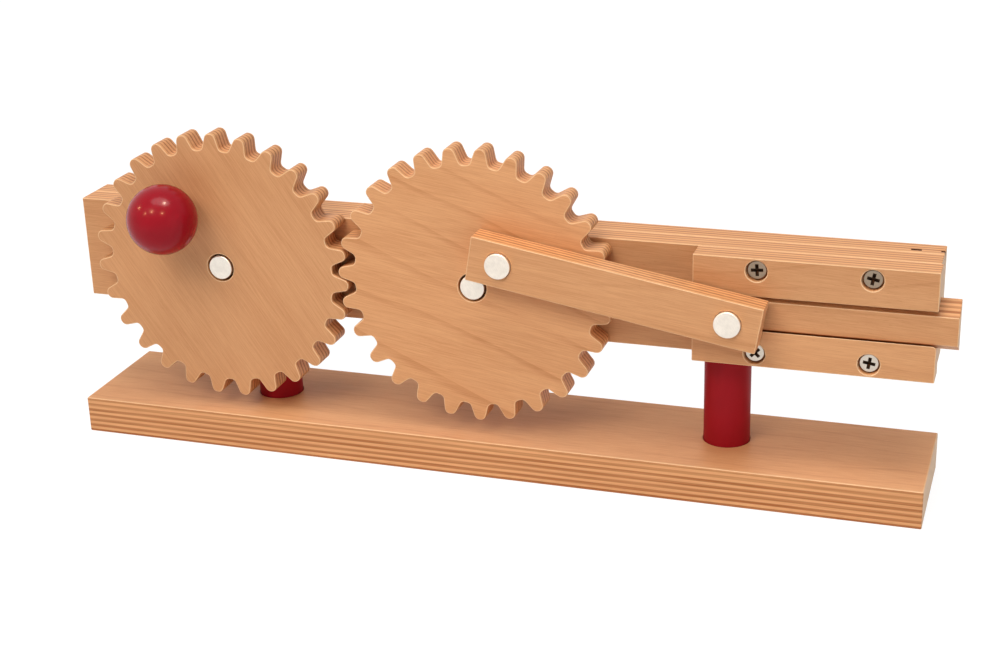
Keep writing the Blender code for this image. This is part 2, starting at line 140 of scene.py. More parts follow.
class ColourSettings(bpy.types.PropertyGroup):
    """Colours as sRGB hex values."""

    face_light: bpy.props.StringProperty(
        name="Face light", description="Pale wood between the grain lines", default="DFA472")
    face_dark: bpy.props.StringProperty(
        name="Face dark", description="Wood in the grain lines", default="BB7A49")
    ply_light: bpy.props.StringProperty(
        name="Ply light", description="Long-grain plies on an edge", default="E3A670")
    ply_dark: bpy.props.StringProperty(
        name="Ply dark", description="Cross-grain plies on an edge", default="A45F30")
    end_grain: bpy.props.StringProperty(
        name="Sawn end", description="Pale sanded ends of the boards", default="DDB78F")
    # Pale rounded edges: partly wear, partly a painted highlight
    rim_wear_and_highlight: bpy.props.StringProperty(
        name="Rim wear and highlight", description="Rounded edges rubbed pale", default="F5CFA2")
    glue: bpy.props.StringProperty(
        name="Glue line", description="Dried wood glue between the beam's boards", default="E3B587")
    post_paint: bpy.props.StringProperty(
        name="Post paint", description="Dark red of the posts", default="9A101C")
    knob_paint: bpy.props.StringProperty(
        name="Knob paint", description="Red of the knob", default="980A1B")
    pin_metal: bpy.props.StringProperty(
        name="Pin metal", description="Off-white aluminium", default="F4ECE0")
    # One plated steel in two copies, shaded and lit: painted shade and painted light
    shaded_screw_steel: bpy.props.StringProperty(
        name="Shaded screw steel", description="Plated steel of the upper screws", default="A08F7C")
    lit_screw_steel: bpy.props.StringProperty(
        name="Lit screw steel", description="Plated steel of the lower screws", default="D8CDBF")
    # Painted shade for the shadow inside a screw's cross
    recess: bpy.props.StringProperty(
        name="Recess", description="Painted shade inside a screw's cross", default="32241A")
    # Painted shade for the shadow inside the beam's core gaps
    core_gap_shade: bpy.props.StringProperty(
        name="Core gap shade", description="Painted shade in the beam's core gaps", default="3A2014")
    floor: bpy.props.StringProperty(
        name="Floor", description="Pale studio floor", default="E6E6E6")


def linear(colour):
    """An sRGB hex value such as DFA472 as a linear colour with alpha."""
    channels = [int(colour[i:i + 2], 16) / 255 for i in (0, 2, 4)]
    return [c / 12.92 if c <= 0.04045 else ((c + 0.055) / 1.055) ** 2.4 for c in channels] + [1.0]


def sizes():
    return bpy.context.scene.motion_model_sizes


def colours():
    return bpy.context.scene.motion_model_colours


def add_node(tree, kind, settings=None, inputs=None):
    """Add a node, set its settings, and set or link its inputs."""
    node = tree.nodes.new(kind)
    for name, value in (settings or {}).items():
        setattr(node, name, value)
    for name, value in (inputs or {}).items():
        if isinstance(value, bpy.types.NodeSocket):
            tree.links.new(value, node.inputs[name])
        else:
            node.inputs[name].default_value = value
    return node


def new_material(name):
    """An empty material and its node tree."""
    material = bpy.data.materials.new(name)
    material.use_nodes = True
    material.node_tree.nodes.clear()
    return material, material.node_tree


def place_in_mm(tree):
    """The place on the object, in millimetres."""
    place = add_node(tree, "ShaderNodeTexCoord").outputs["Object"]
    return add_node(tree, "ShaderNodeVectorMath", {"operation": "SCALE"}, {
        0: place, "Scale": 1 / MM}).outputs[0]


def along_grain(tree, in_mm, stack, turn, length, width, seed):
    """The place counted in grain features of a length and a width in mm, moved by the seed."""
    return add_node(tree, "ShaderNodeMapping", {"vector_type": "TEXTURE"}, {
        "Vector": in_mm,
        "Location": [seed * step for step in SEED_STEPS],
        "Rotation": (0, -turn, 0) if stack == "Y" else (0, 0, turn),
        "Scale": (length, width, width),
    }).outputs[0]


def streaks(tree, in_mm, stack, turn, length, width, seed, detail, roughness):
    """Noise drawn out along the grain, in streaks of a size in mm."""
    return add_node(tree, "ShaderNodeTexNoise", inputs={
        "Vector": along_grain(tree, in_mm, stack, turn, length, width, seed),
        "Scale": 1.0, "Detail": detail, "Roughness": roughness}).outputs["Fac"]


def mottled(tree, colour, pattern, darkest, lightest, start=0.0, end=1.0):
    """A colour made darker or lighter by a pattern that runs from start to end."""
    shade = add_node(tree, "ShaderNodeMapRange", inputs={
        "Value": pattern, "From Min": start, "From Max": end, "To Min": darkest, "To Max": lightest})
    return add_node(tree, "ShaderNodeVectorMath", {"operation": "SCALE"}, {
        0: linear(colour)[:3], "Scale": shade.outputs[0]}).outputs[0]


def veneer_tone(tree, in_mm, stack, grain, bands, ring_turn, ring_gap, rings, seed):
    """How dark a face is: fine fibres, short pores, soft bands and a few growth rings.

    Real fibres are too fine to show in the picture, so they are drawn 0.4 mm wide.
    """
    fibre_weight = 1.15
    middle_tone = 0.275
    fibre = streaks(
        tree, in_mm, stack, grain, length=14.0, width=0.38, seed=seed, detail=3.0, roughness=0.6)
    band = streaks(
        tree, in_mm, stack, grain, length=110.0, width=13.0, seed=seed, detail=2.0, roughness=0.5)
    pore = streaks(
        tree, in_mm, stack, grain, length=2.6, width=0.35, seed=seed, detail=1.0, roughness=0.5)
    pores = add_node(tree, "ShaderNodeMapRange", {"interpolation_type": "SMOOTHSTEP"}, {
        "Value": pore, "From Min": 0.62, "From Max": 0.78, "To Max": 0.22})
    growth = add_node(tree, "ShaderNodeTexWave", {
        "wave_type": "BANDS", "bands_direction": "Z" if stack == "Y" else "Y", "wave_profile": "SAW",
    }, {
        "Vector": along_grain(
            tree, in_mm, stack, ring_turn, length=3 * ring_gap, width=ring_gap, seed=seed),
        "Scale": ONE_BAND, "Distortion": 6.0,
        "Detail": 1.5, "Detail Scale": 1.2, "Detail Roughness": 0.4})
    ring = add_node(tree, "ShaderNodeMapRange", {"interpolation_type": "SMOOTHERSTEP"}, {
        "Value": growth.outputs["Fac"], "From Min": 0.78, "From Max": 0.97})
    fading = add_node(tree, "ShaderNodeMapRange", inputs={
        "Value": band, "From Min": 0.35, "From Max": 0.65, "To Min": 0.25 * rings, "To Max": rings})
    total = pores.outputs[0]
    for part, weight in ((ring.outputs[0], fading.outputs[0]), (band, bands), (fibre, fibre_weight)):
        total = add_node(tree, "ShaderNodeMath", {"operation": "MULTIPLY_ADD"}, {
            0: part, 1: weight, 2: total}).outputs[0]
    tone = add_node(tree, "ShaderNodeMath", {"operation": "SUBTRACT", "use_clamp": True}, {
        0: total, 1: bands / 2 + middle_tone})
    return tone.outputs[0], fibre


def ply_tone(tree, in_mm, stack, face, thickness, plies, dark_share, contrast, seed):
    """How dark an edge is: dark cross-grain plies between pale ones, each of its own tone.

    Counted from the face, each ply is one unit deep, and its border is blurred on both sides.
    """
    blur = 0.22
    middle_of_ply = 0.5
    depth = add_node(tree, "ShaderNodeSeparateXYZ", inputs={0: in_mm}).outputs[stack]
    waver = streaks(
        tree, in_mm, stack, turn=0.0, length=90.0, width=25.0, seed=seed, detail=1.0, roughness=0.4)
    wavered = add_node(tree, "ShaderNodeMapRange", inputs={
        "Value": waver, "To Min": -0.3, "To Max": 0.3}).outputs[0]
    in_plies = depth
    for operation, value in (
            ("SUBTRACT", face / MM), ("ADD", wavered), ("DIVIDE", thickness / MM / plies)):
        in_plies = add_node(tree, "ShaderNodeMath", {"operation": operation}, {
            0: in_plies, 1: value}).outputs[0]
    centred = add_node(tree, "ShaderNodeMath", {"operation": "SUBTRACT"}, {
        0: in_plies, 1: middle_of_ply})
    swing = add_node(tree, "ShaderNodeMath", {"operation": "PINGPONG"}, {0: centred.outputs[0], 1: 1.0})
    dark = add_node(tree, "ShaderNodeMapRange", {"interpolation_type": "SMOOTHSTEP"}, {
        "Value": swing.outputs[0],
        "From Min": 1 - blur - dark_share, "From Max": 1 + blur - dark_share})
    number = add_node(tree, "ShaderNodeMath", {"operation": "FLOOR"}, {0: in_plies})
    own = add_node(tree, "ShaderNodeTexWhiteNoise", {"noise_dimensions": "1D"}, {"W": number.outputs[0]})
    own_tone = add_node(tree, "ShaderNodeMapRange", inputs={
        "Value": own.outputs["Value"], "To Min": 0.5 * contrast, "To Max": contrast})
    plain = add_node(tree, "ShaderNodeMath", {"operation": "MULTIPLY"}, {
        0: dark.outputs[0], 1: own_tone.outputs[0]})
    speckle = streaks(
        tree, in_mm, stack, turn=0.0, length=60.0, width=0.9, seed=seed, detail=3.0, roughness=0.6)
    rough = add_node(tree, "ShaderNodeMapRange", inputs={
        "Value": speckle, "From Min": 0.3, "From Max": 0.7, "To Min": -0.12, "To Max": 0.3})
    tone = add_node(tree, "ShaderNodeMath", {"operation": "ADD", "use_clamp": True}, {
        0: plain.outputs[0], 1: rough.outputs[0]})
    return tone.outputs[0], dark.outputs[0]


def plywood(name, face, thickness, stack="Y", plies=BOARD_PLIES, dark_share=0.42, contrast=0.8,
            grain=0.0, bands=0.6, ring_turn=0.0, ring_gap=16.0, rings=0.2, pale_ends=0.8,
            face_shade=1.0, edge_shade=1.0, seed=0.0):
    """Beech plywood under clear satin lacquer.

    The plies stack along one axis from the given face, and the face veneer's fibres are
    turned by an angle from the X axis. The eye sees fine fibres and faint growth rings on
    the faces, light and dark plies along the edges, and pale sanded ends. The ring gap is in
    mm, and bands, rings and pale_ends say how strongly those show.
    """
    tint = colours()
    material, tree = new_material(name)
    in_mm = place_in_mm(tree)
    face_tone, fibre = veneer_tone(tree, in_mm, stack, grain, bands, ring_turn, ring_gap, rings, seed)
    veneer = add_node(tree, "ShaderNodeMix", {"data_type": "RGBA"}, {
        "Factor": face_tone, "A": linear(tint.face_light), "B": linear(tint.face_dark)})
    # face_shade scales the face's colour: the piece's own tone, and on the beam a painted shade
    darkened = add_node(tree, "ShaderNodeVectorMath", {"operation": "SCALE"}, {
        0: veneer.outputs["Result"], "Scale": face_shade})
    edge_tone, dark = ply_tone(
        tree, in_mm, stack, face, thickness, plies, dark_share, contrast, seed)
    layers = add_node(tree, "ShaderNodeMix", {"data_type": "RGBA"}, {
        "Factor": edge_tone, "A": linear(tint.ply_light), "B": linear(tint.ply_dark)})

    # A face looks along the stack's axis, and a board's end along X
    normal = add_node(tree, "ShaderNodeNewGeometry").outputs["True Normal"]
    facing = add_node(tree, "ShaderNodeSeparateXYZ", inputs={0: normal})
    on_face = add_node(tree, "ShaderNodeMath", {"operation": "ABSOLUTE"}, {0: facing.outputs[stack]})
    on_end = add_node(tree, "ShaderNodeMath", {"operation": "ABSOLUTE"}, {0: facing.outputs["X"]})
    edge = add_node(tree, "ShaderNodeMapRange", {"interpolation_type": "SMOOTHSTEP"}, {
        "Value": on_face.outputs[0], "From Min": 0.60, "From Max": 0.92, "To Min": 1.0, "To Max": 0.0})
    end = add_node(tree, "ShaderNodeMapRange", {"interpolation_type": "SMOOTHSTEP"}, {
        "Value": on_end.outputs[0], "From Min": 0.80, "From Max": 0.95, "To Max": pale_ends})
    edged = add_node(tree, "ShaderNodeMix", {"data_type": "RGBA"}, {
        "Factor": end.outputs[0], "A": layers.outputs["Result"], "B": linear(tint.end_grain)})
    shaded = add_node(tree, "ShaderNodeVectorMath", {"operation": "SCALE"}, {
        0: edged.outputs["Result"], "Scale": edge_shade})
    sides = add_node(tree, "ShaderNodeMix", {"data_type": "RGBA"}, {
        "Factor": edge.outputs[0], "A": darkened.outputs[0], "B": shaded.outputs[0]})

    # The rounded rim of a face is painted pale: partly rubbed wood, partly a painted highlight where the
    # rounded edge catches the light
    turned = add_node(tree, "ShaderNodeMapRange", inputs={
        "Value": on_face.outputs[0], "From Min": 0.95, "From Max": 0.99, "To Min": 0.7, "To Max": 0.0})
    still = add_node(tree, "ShaderNodeMath", {"operation": "GREATER_THAN"}, {
        0: on_face.outputs[0], 1: 0.5})
    rim = add_node(tree, "ShaderNodeMath", {"operation": "MULTIPLY"}, {
        0: turned.outputs[0], 1: still.outputs[0]})
    wood = add_node(tree, "ShaderNodeMix", {"data_type": "RGBA"}, {
        "Factor": rim.outputs[0], "A": sides.outputs["Result"], "B": linear(tint.rim_wear_and_highlight)})

    relief = add_node(tree, "ShaderNodeMix", {"data_type": "FLOAT"}, {
        "Factor": edge.outputs[0], "A": fibre, "B": dark})
    bump = add_node(tree, "ShaderNodeBump", inputs={
        "Strength": 0.06, "Distance": 0.1 * MM, "Height": relief.outputs["Result"]})
    gloss = add_node(tree, "ShaderNodeMapRange", inputs={"Value": fibre, "To Min": 0.42, "To Max": 0.56})
    shader = add_node(tree, "ShaderNodeBsdfPrincipled", inputs={
        "Base Color": wood.outputs["Result"], "Roughness": gloss.outputs[0], "Normal": bump.outputs[0],
        "Specular IOR Level": 0.3})
    add_node(tree, "ShaderNodeOutputMaterial", inputs={"Surface": shader.outputs[0]})
    return material


def wood_glue():
    """Dried wood glue: a pale matt seam, faintly mottled."""
    material, tree = new_material("dried wood glue")
    mottle = add_node(tree, "ShaderNodeTexNoise", inputs={
        "Vector": place_in_mm(tree), "Scale": 0.5, "Detail": 2.0, "Roughness": 0.5})
    tinted = mottled(tree, colours().glue, mottle.outputs["Fac"], darkest=0.8, lightest=1.1)
    shader = add_node(tree, "ShaderNodeBsdfPrincipled", inputs={
        "Base Color": tinted, "Roughness": 0.6})
    add_node(tree, "ShaderNodeOutputMaterial", inputs={"Surface": shader.outputs[0]})
    return material


def paint(name, colour, roughness, shine, coat):
    """Enamel brushed on turned wood, or the painted shade in the beam's core gaps: one even colour over
    a faint ripple.
    """
    material, tree = new_material(name)
    in_mm = place_in_mm(tree)
    ripple = add_node(tree, "ShaderNodeTexNoise", inputs={
        "Vector": in_mm, "Scale": 0.7, "Detail": 2.0, "Roughness": 0.4})
    bump = add_node(tree, "ShaderNodeBump", inputs={
        "Strength": 0.05, "Distance": 0.05 * MM, "Height": ripple.outputs["Fac"]})
    cloud = add_node(tree, "ShaderNodeTexNoise", inputs={
        "Vector": in_mm, "Scale": 0.09, "Detail": 3.0, "Roughness": 0.5})
    tinted = mottled(tree, colour, cloud.outputs["Fac"], darkest=0.88, lightest=1.10)
    shader = add_node(tree, "ShaderNodeBsdfPrincipled", inputs={
        "Base Color": tinted, "Roughness": roughness, "Normal": bump.outputs[0],
        "Specular IOR Level": shine, "Coat Weight": coat, "Coat Roughness": 0.05})
    add_node(tree, "ShaderNodeOutputMaterial", inputs={"Surface": shader.outputs[0]})
    return material


def metal(name, colour, roughness, mark_width=0.25):
    """Metal with the fine uneven marks of sawing and filing, of a width in mm.

    The eye sees a soft and slightly blotchy shine.
    """
    material, tree = new_material(name)
    in_mm = place_in_mm(tree)
    marks = streaks(
        tree, in_mm, "Y", turn=math.radians(-60), length=5 * mark_width, width=mark_width, seed=3.0,
        detail=4.0, roughness=0.6)
    blotch = add_node(tree, "ShaderNodeTexNoise", inputs={
        "Vector": in_mm, "Scale": 0.35, "Detail": 2.0, "Roughness": 0.5})
    both = add_node(tree, "ShaderNodeMath", {"operation": "ADD"}, {
        0: blotch.outputs["Fac"], 1: marks})
    tinted = mottled(tree, colour, both.outputs[0], darkest=0.80, lightest=1.0, start=0.6, end=1.4)
    rough = add_node(tree, "ShaderNodeMapRange", inputs={
        "Value": marks, "To Min": roughness - 0.10, "To Max": roughness + 0.12})
    bump = add_node(tree, "ShaderNodeBump", inputs={
        "Strength": 0.12, "Distance": 0.05 * MM, "Height": marks})
    shader = add_node(tree, "ShaderNodeBsdfPrincipled", inputs={
        "Base Color": tinted, "Metallic": 1.0, "Roughness": rough.outputs[0],
        "Normal": bump.outputs[0]})
    add_node(tree, "ShaderNodeOutputMaterial", inputs={"Surface": shader.outputs[0]})
    return material


def deselect_all():
    """Nothing selected and no object being edited."""
    if bpy.context.object and bpy.context.object.mode != "OBJECT":
        bpy.ops.object.mode_set(mode="OBJECT")
    bpy.ops.object.select_all(action="DESELECT")


def only(obj):
    """Make obj the one selected and active object."""
    deselect_all()
    obj.select_set(True)
    bpy.context.view_layer.objects.active = obj


def add_block(name, low, high):
    """A box between two corners, ready for shaping."""
    deselect_all()
    low, high = Vector(low), Vector(high)
    bpy.ops.mesh.primitive_cube_add(size=1, location=(low + high) / 2)
    block = bpy.context.object
    block.name = name
    block.scale = high - low
    bpy.ops.object.transform_apply()
    return block


def add_round(name, centre, radius, length, axis="Y", vertices=ROUND_SIDES, front=None):
    """A cylinder along the named axis or, with a front radius, a cone along Y."""
    deselect_all()
    turn = (math.pi / 2, 0, 0) if axis == "Y" else (0, 0, 0)
    bpy.ops.mesh.primitive_cone_add(
        vertices=vertices, radius1=radius, radius2=radius if front is None else front,
        depth=length, location=centre, rotation=turn)
    piece = bpy.context.object
    piece.name = name
    bpy.ops.object.transform_apply()
    return piece


def turn_about_y(obj, angle, centre):
    """Turn obj in the XZ plane, positive as seen from the front, and move it to centre."""
    only(obj)
    obj.rotation_euler = (0, -angle, 0)
    obj.location = centre
    bpy.ops.object.transform_apply()


def soften(obj, width, segments=3, clamp=True):
    """Round the sharp edges and keep the flat faces flat in the shading."""
    only(obj)
    bevel = obj.modifiers.new("edges", "BEVEL")
    bevel.width = width
    bevel.segments = segments
    bevel.limit_method = "ANGLE"
    bevel.angle_limit = SHARP_TURN
    bevel.use_clamp_overlap = clamp
    bpy.ops.object.modifier_apply(modifier=bevel.name)
    even_shading(obj)


def even_shading(obj, angle=50):
    """Smooth shading by angle, weighted so that large flat faces stay flat."""
    only(obj)
    bpy.ops.object.shade_smooth_by_angle(angle=math.radians(angle))
    weighted = obj.modifiers.new("weights", "WEIGHTED_NORMAL")
    weighted.keep_sharp = True
    bpy.ops.object.modifier_apply(modifier=weighted.name)


def drill(obj, cutter):
    """Cut the cutter's shape out of obj and remove the cutter."""
    only(obj)
    hole = obj.modifiers.new("hole", "BOOLEAN")
    hole.operation = "DIFFERENCE"
    hole.solver = "EXACT"
    hole.object = cutter
    bpy.ops.object.modifier_apply(modifier=hole.name)
    bpy.data.objects.remove(cutter)


def edit_points(obj, chosen):
    """Enter edit mode with the points selected for which chosen(co) is true."""
    only(obj)
    bpy.ops.object.mode_set(mode="EDIT")
    bpy.ops.mesh.select_mode(type="VERT")
    bpy.ops.mesh.select_all(action="DESELECT")
    bpy.ops.object.mode_set(mode="OBJECT")
    for vertex in obj.data.vertices:
        vertex.select = chosen(vertex.co)
    bpy.ops.object.mode_set(mode="EDIT")


def move_points(obj, chosen, shift):
    """Move the points for which chosen(co) is true."""
    edit_points(obj, chosen)
    bpy.ops.transform.translate(value=shift)
    bpy.ops.object.mode_set(mode="OBJECT")


def dress(obj, node, material):
    """Finish a piece: its material, its body and the solid that it stands for."""
    only(obj)
    obj.data.materials.clear()
    obj.data.materials.append(material)
    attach(obj, frame["nodes"][node]["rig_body"])
    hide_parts(node)


def centre_of(node):
    """The middle of a node's box."""
    low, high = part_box(node)
    return (low + high) / 2


class MODEL_OT_base(bpy.types.Operator):
    """Base board with eased edges and two post holes"""
    bl_idname = "motion_model.base"
    bl_label = "Base board"

    post_gap: bpy.props.FloatProperty(
        name="Post gap", description="Dark ring left round each post", default=0.4 * MM, unit="LENGTH")

    def execute(self, context):
        low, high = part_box("base_board")
        board = add_block("base", low, high)
        soften(board, sizes().base_edge)
        for post in ("left_post", "right_post"):
            post_low, post_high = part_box(post)
            radius = (post_high.x - post_low.x) / 2 + self.post_gap
            centre = (post_low + post_high) / 2
            centre.z = (low.z + high.z) / 2
            drill(board, add_round("post_hole", centre, radius, 2 * (high.z - low.z), axis="Z"))
        even_shading(board)
        wood = plywood(
            "beech plywood, base", face=high.z, thickness=high.z - low.z, stack="Z",
            plies=13, dark_share=0.54, contrast=0.88, grain=math.radians(1),
            ring_turn=math.radians(-2), ring_gap=11.0, rings=0.22, pale_ends=0.9, seed=1.0)
        dress(board, "base_board", wood)
        return {"FINISHED"}


class MODEL_OT_posts(bpy.types.Operator):
    """Two painted dowel posts"""
    bl_idname = "motion_model.posts"
    bl_label = "Posts"

    seat_gap: bpy.props.FloatProperty(
        name="Seat gap", description="Between a post and the beam", default=0.3 * MM, unit="LENGTH")

    def execute(self, context):
        red = paint(
            "dark red satin enamel", colours().post_paint, roughness=0.5, shine=0.15, coat=0.0)
        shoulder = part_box("beam_front_board")[0].z - self.seat_gap
        for node in ("left_post", "right_post"):
            low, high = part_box(node)
            radius = (high.x - low.x) / 2
            centre = Vector(((low.x + high.x) / 2, (low.y + high.y) / 2, (low.z + shoulder) / 2))
            post = add_round(node + "_painted", centre, radius, shoulder - low.z, axis="Z")
            soften(post, sizes().turned_edge)
            dress(post, node, red)
        return {"FINISHED"}


class MODEL_OT_beam(bpy.types.Operator):
    """Two plywood boards with a glue line between them and open core gaps on top"""
    bl_idname = "motion_model.beam"
    bl_label = "Beam boards"

    long_gap: bpy.props.FloatVectorProperty(
        name="Long gap", description="Centre and length of the long core gap, from the right end",
        default=(12.3 * MM, 4.6 * MM), size=2, unit="LENGTH")
    end_gap: bpy.props.FloatVectorProperty(
        name="End gap", description="Centre and length of the core gap at the right end",
        default=(0.7 * MM, 2.2 * MM), size=2, unit="LENGTH")
    gap_depth: bpy.props.FloatProperty(
        name="Gap depth", description="Depth of the core gaps", default=4.0 * MM, unit="LENGTH")
    glue_edge: bpy.props.FloatProperty(
        name="Glue edge", description="Rounding of the glue line", default=0.1 * MM, unit="LENGTH")

    def execute(self, context):
        for index, node in enumerate(("beam_front_board", "beam_rear_board")):
            low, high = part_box(node)
            board = add_block(node + "_dressed", low, high)
            soften(board, sizes().board_edge)
            gaps = self.open_gaps(board, low, high) if node == "beam_rear_board" else []
            # face_shade darkens the beam's faces: a painted shade for the shadow that the gears, rod and
            # rails cast on it
            wood = plywood(
                "beech plywood, " + node.replace("_", " "), face=low.y, thickness=high.y - low.y,
                grain=math.radians(-1.5), ring_turn=math.radians(-3), ring_gap=14.0, rings=0.1,
                face_shade=0.92, seed=2.0 + index)
            dress(board, node, wood)
            self.darken(board, gaps)
        self.add_glue()
        return {"FINISHED"}

    def open_gaps(self, board, low, high):
        """Cut the narrow gaps where the third ply is missing."""
        ply = (high.y - low.y) / BOARD_PLIES
        front = low.y + 2 * ply
        back = front + 1.2 * ply
        gaps = []
        for centre, length in (self.long_gap, self.end_gap):
            middle = high.x - centre
            corners = (
                Vector((middle - length / 2, front, high.z - self.gap_depth)),
                Vector((middle + length / 2, back, high.z + self.gap_depth)))
            drill(board, add_block("core_gap", *corners))
            gaps.append(corners)
        even_shading(board)
        return gaps

    def darken(self, board, gaps):
        """Paint the walls inside the core gaps dark, a painted shade for the shadow in the gaps."""
        core_gap_shade = paint(
            "painted shade in the core gaps", colours().core_gap_shade, roughness=0.8, shine=0.1, coat=0.0)
        board.data.materials.append(core_gap_shade)
        for face in board.data.polygons:
            for low, high in gaps:
                if all(low[i] - SAME_PLACE < face.center[i] < high[i] + SAME_PLACE for i in range(3)):
                    face.material_index = 1

    def add_glue(self):
        """Fill the seam between the boards, a little below their edges."""
        front_low, front_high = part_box("beam_front_board")
        rear_low, rear_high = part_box("beam_rear_board")
        sunk = sizes().board_edge / 2
        seam = add_block(
            "glue_line", (front_low.x + sunk, front_high.y - sunk, front_low.z + sunk),
            (front_high.x - sunk, rear_low.y + sunk, front_high.z - sunk))
        soften(seam, self.glue_edge, segments=1)
        seam.data.materials.append(wood_glue())
        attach(seam, frame["nodes"]["beam_front_board"]["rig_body"])


class MODEL_OT_rails(bpy.types.Operator):
    """Guide rails with undercut inner edges and counterbored screw holes"""
    bl_idname = "motion_model.rails"
    bl_label = "Guide rails"

    bore_depth: bpy.props.FloatProperty(
        name="Bore depth", description="Depth of the counterbores", default=4.6 * MM, unit="LENGTH")
    bore_rim: bpy.props.FloatProperty(
        name="Bore rim", description="Chamfer at the mouth of the counterbores",
        default=0.4 * MM, unit="LENGTH")

    def execute(self, context):
        slope = math.tan(sizes().dovetail)
        rails = (
            ("upper_rail", -1, {"ring_turn": math.radians(7), "face_shade": 0.91, "seed": 3.0}),
            ("lower_rail", 1, {"ring_turn": math.radians(-7), "face_shade": 0.97, "seed": 5.0}),
        )
        for node, inward, look in rails:
            low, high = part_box(node)
            middle = (low + high) / 2
            rail = add_block(node + "_dressed", low, high)
            move_points(
                rail,
                lambda co: co.y > middle.y and inward * (co.z - middle.z) > 0,
                (0, 0, -inward * slope * (high.y - low.y)))
            if node == "lower_rail":
                edit_points(rail, lambda co: co.x > middle.x and co.z > middle.z)
                bpy.ops.mesh.bevel(offset=sizes().worn_corner, segments=5, affect="EDGES")
                bpy.ops.object.mode_set(mode="OBJECT")
            soften(rail, sizes().board_edge)
            word = node.split("_")[0]
            for screw in ("rail_screw_%s_left" % word, "rail_screw_%s_right" % word):
                self.counterbore(rail, centre_of(screw), low.y)
            even_shading(rail)
            wood = plywood(
                "beech plywood, " + node.replace("_", " "), face=low.y, thickness=high.y - low.y,
                grain=math.radians(-3), ring_gap=12.0, **look)
            dress(rail, node, wood)
        return {"FINISHED"}

    def counterbore(self, rail, place, front):
        """Bore the rail for a screw's head and chamfer the bore's mouth."""
        radius = sizes().screw_hole / 2
        place.y = front
        drill(rail, add_round("counterbore", place, radius, 2 * self.bore_depth))
        place.y = front + self.bore_rim / 2
        drill(rail, add_round("rim", place, radius, self.bore_rim, front=radius + self.bore_rim))


class MODEL_OT_screws(bpy.types.Operator):
    """Four cross-head countersunk screws"""
    bl_idname = "motion_model.screws"
    bl_label = "Rail screws"

    head_height: bpy.props.FloatProperty(
        name="Head height", description="Height of the tapered head", default=2.2 * MM, unit="LENGTH")
    head_taper: bpy.props.FloatProperty(
        name="Head taper", description="Back of the head as a share of its front", default=0.55)
    head_edge: bpy.props.FloatProperty(
        name="Head edge", description="Rounding of the head", default=0.2 * MM, unit="LENGTH")

    def execute(self, context):
        tint = colours()
        # One plated steel, darker on the upper screws and lighter on the lower ones: painted shade and
        # painted light
        shaded_copy = metal("nickel-plated steel, shaded copy", tint.shaded_screw_steel, roughness=0.36)
        bright = metal("nickel-plated steel, lit copy", tint.lit_screw_steel, roughness=0.34)
        # A near-black copy of the steel: painted shade for the inside of the cross
        dark = metal("painted shade in the recess", tint.recess, roughness=0.45)

        # How far each cross is turned, in degrees, and its copy of the steel
        turns = {
            "rail_screw_upper_left": (4, shaded_copy),
            "rail_screw_upper_right": (-11, shaded_copy),
            "rail_screw_lower_left": (45, bright),
            "rail_screw_lower_right": (-9, bright),
        }
        for node, (turn, steel) in turns.items():
            low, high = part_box(node)
            radius = (high.x - low.x) / 2
            centre = (low + high) / 2
            head = add_round(
                node + "_dressed", (centre.x, low.y + self.head_height / 2, centre.z),
                self.head_taper * radius, self.head_height, front=radius)
            soften(head, self.head_edge, segments=2)

            # The second slot is shallower, so that the two bottoms don't share a plane
            for angle, share in ((turn, 1.0), (turn + 90, 0.9)):
                drill(head, self.recess_arm((centre.x, low.y, centre.z), math.radians(angle), share))
            even_shading(head, angle=30)
            dress(head, node, steel)
            head.data.materials.append(dark)

            # Faces of the cross lie behind the head's front and near its middle, and take the painted
            # shade
            front = 0.05 * MM
            back = 0.95 * self.head_height
            reach = 0.4 * sizes().recess_span
            for face in head.data.polygons:
                behind = face.center.y - low.y
                aside = math.hypot(face.center.x - centre.x, face.center.z - centre.z)
                if front < behind < back and aside < reach:
                    face.material_index = 1
        return {"FINISHED"}

    def recess_arm(self, place, angle, share):
        """A cutter for one slot of the cross, narrower and shorter at its bottom."""
        half, side = sizes().recess_span / 2, sizes().recess_width / 2
        depth = sizes().recess_depth * share
        arm = add_block("arm", (-half, -depth, -side), (half, depth, side))
        for chosen, shares in ((lambda co: co.y > 0, SLOT_INNER), (lambda co: co.y < 0, SLOT_OUTER)):
            edit_points(arm, chosen)
            bpy.ops.transform.resize(value=shares)
            bpy.ops.object.mode_set(mode="OBJECT")
        turn_about_y(arm, angle, place)
        return arm


